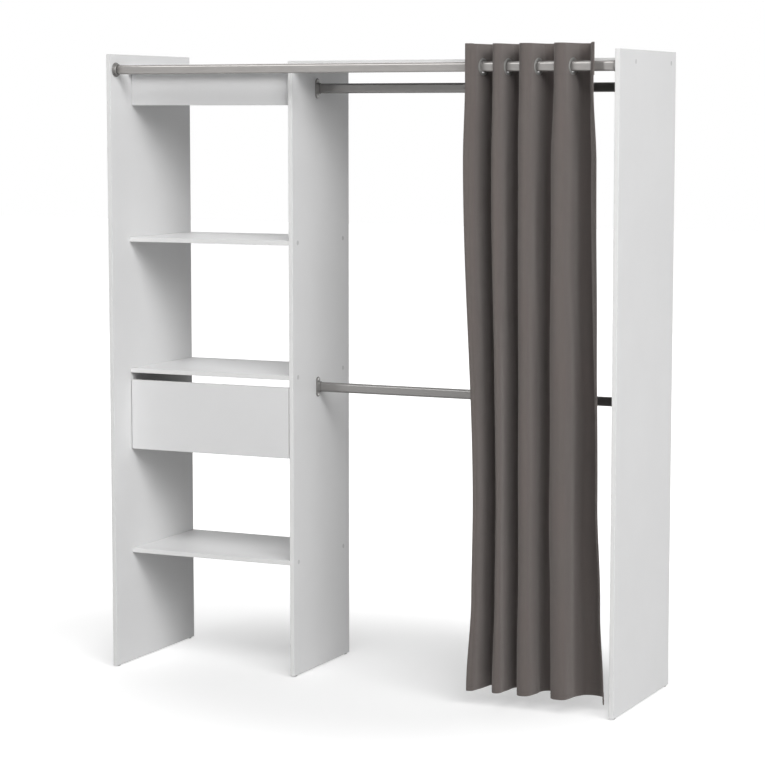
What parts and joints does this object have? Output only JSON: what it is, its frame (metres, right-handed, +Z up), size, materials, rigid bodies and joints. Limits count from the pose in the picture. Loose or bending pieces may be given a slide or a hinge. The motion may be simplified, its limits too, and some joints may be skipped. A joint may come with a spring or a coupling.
{
  "type": "open-front wardrobe",
  "caption": "Open-front wardrobe with a shelf column and drawer, and a hanging bay that pulls out sideways on telescopic rails behind a sliding eyelet curtain.",
  "frame": {"origin": "on the floor, under the middle of the whole piece, curtain included", "axes": "+Z up, +X to the right seen from the front, where the bay pulls out, +Y to the back"},
  "size_m": [1.7706, 0.5523, 2.0533],
  "materials": {
    "white_melamine": "matt white melamine-faced chipboard with matching edging",
    "drawer_board": "matt white foil-wrapped board",
    "runner_steel": "zinc-plated sheet",
    "satin_metal": "satin nickel",
    "socket_metal": "satin grey",
    "eyelet_metal": "satin grey nickel",
    "curtain_cloth": "plain woven, grey-brown",
    "glide_plastic": "matt",
    "cap_plastic": "matt light grey"
  },
  "bodies": {
    "column": {"left_side_panel": "white_melamine", "middle_panel": "white_melamine", "shelf_lower": "white_melamine", "shelf_middle": "white_melamine", "shelf_upper": "white_melamine", "top_board_fixed": "white_melamine", "top_stretcher": "white_melamine", "runner_channel_left": "runner_steel", "runner_channel_right": "runner_steel", "curtain_rail_inner": "satin_metal", "curtain_socket_left": "socket_metal", "hanging_rail_upper_outer": "satin_metal", "hanging_rail_lower_outer": "satin_metal", "hanging_socket_upper_left": "socket_metal", "hanging_socket_lower_left": "socket_metal", "glide_left_front": "glide_plastic", "glide_left_back": "glide_plastic", "glide_middle_front": "glide_plastic", "glide_middle_back": "glide_plastic", "cap_left_lower_front": "cap_plastic", "cap_left_lower_back": "cap_plastic", "cap_middle_lower_front": "cap_plastic", "cap_middle_lower_back": "cap_plastic", "cap_left_middle_front": "cap_plastic", "cap_left_middle_back": "cap_plastic", "cap_middle_middle_front": "cap_plastic", "cap_middle_middle_back": "cap_plastic", "cap_left_upper_front": "cap_plastic", "cap_left_upper_back": "cap_plastic", "cap_middle_upper_front": "cap_plastic", "cap_middle_upper_back": "cap_plastic"},
    "bay": {"right_side_panel": "white_melamine", "top_board_sliding": "white_melamine", "curtain_rail_outer": "satin_metal", "curtain_socket_right": "socket_metal", "hanging_rail_upper_inner": "satin_metal", "hanging_rail_lower_inner": "satin_metal", "hanging_socket_upper_right": "socket_metal", "hanging_socket_lower_right": "socket_metal", "glide_right_front": "glide_plastic", "glide_right_back": "glide_plastic", "cap_right_top_front": "cap_plastic", "cap_right_top_back": "cap_plastic"},
    "drawer": {"drawer_front": "white_melamine", "drawer_bottom": "drawer_board", "drawer_side_left": "drawer_board", "drawer_side_right": "drawer_board", "drawer_back": "drawer_board", "runner_member_left": "runner_steel", "runner_member_right": "runner_steel"},
    "hung_curtain": {"curtain": "curtain_cloth", "eyelet_1": "eyelet_metal", "eyelet_2": "eyelet_metal", "eyelet_3": "eyelet_metal", "eyelet_4": "eyelet_metal", "eyelet_5": "eyelet_metal", "eyelet_6": "eyelet_metal", "eyelet_7": "eyelet_metal", "eyelet_8": "eyelet_metal"}
  },
  "joints": [
    {"name": "bay_slide", "type": "slide", "parent": "column", "child": "bay", "axis": [1, 0, 0], "range_m": [-0.4, 0]},
    {"name": "drawer_slide", "type": "slide", "parent": "column", "child": "drawer", "axis": [0, -1, 0], "range_m": [0, 0.28]},
    {"name": "curtain_slide", "type": "slide", "parent": "bay", "child": "hung_curtain", "axis": [1, 0, 0], "range_m": [-0.25, 0]}
  ]
}
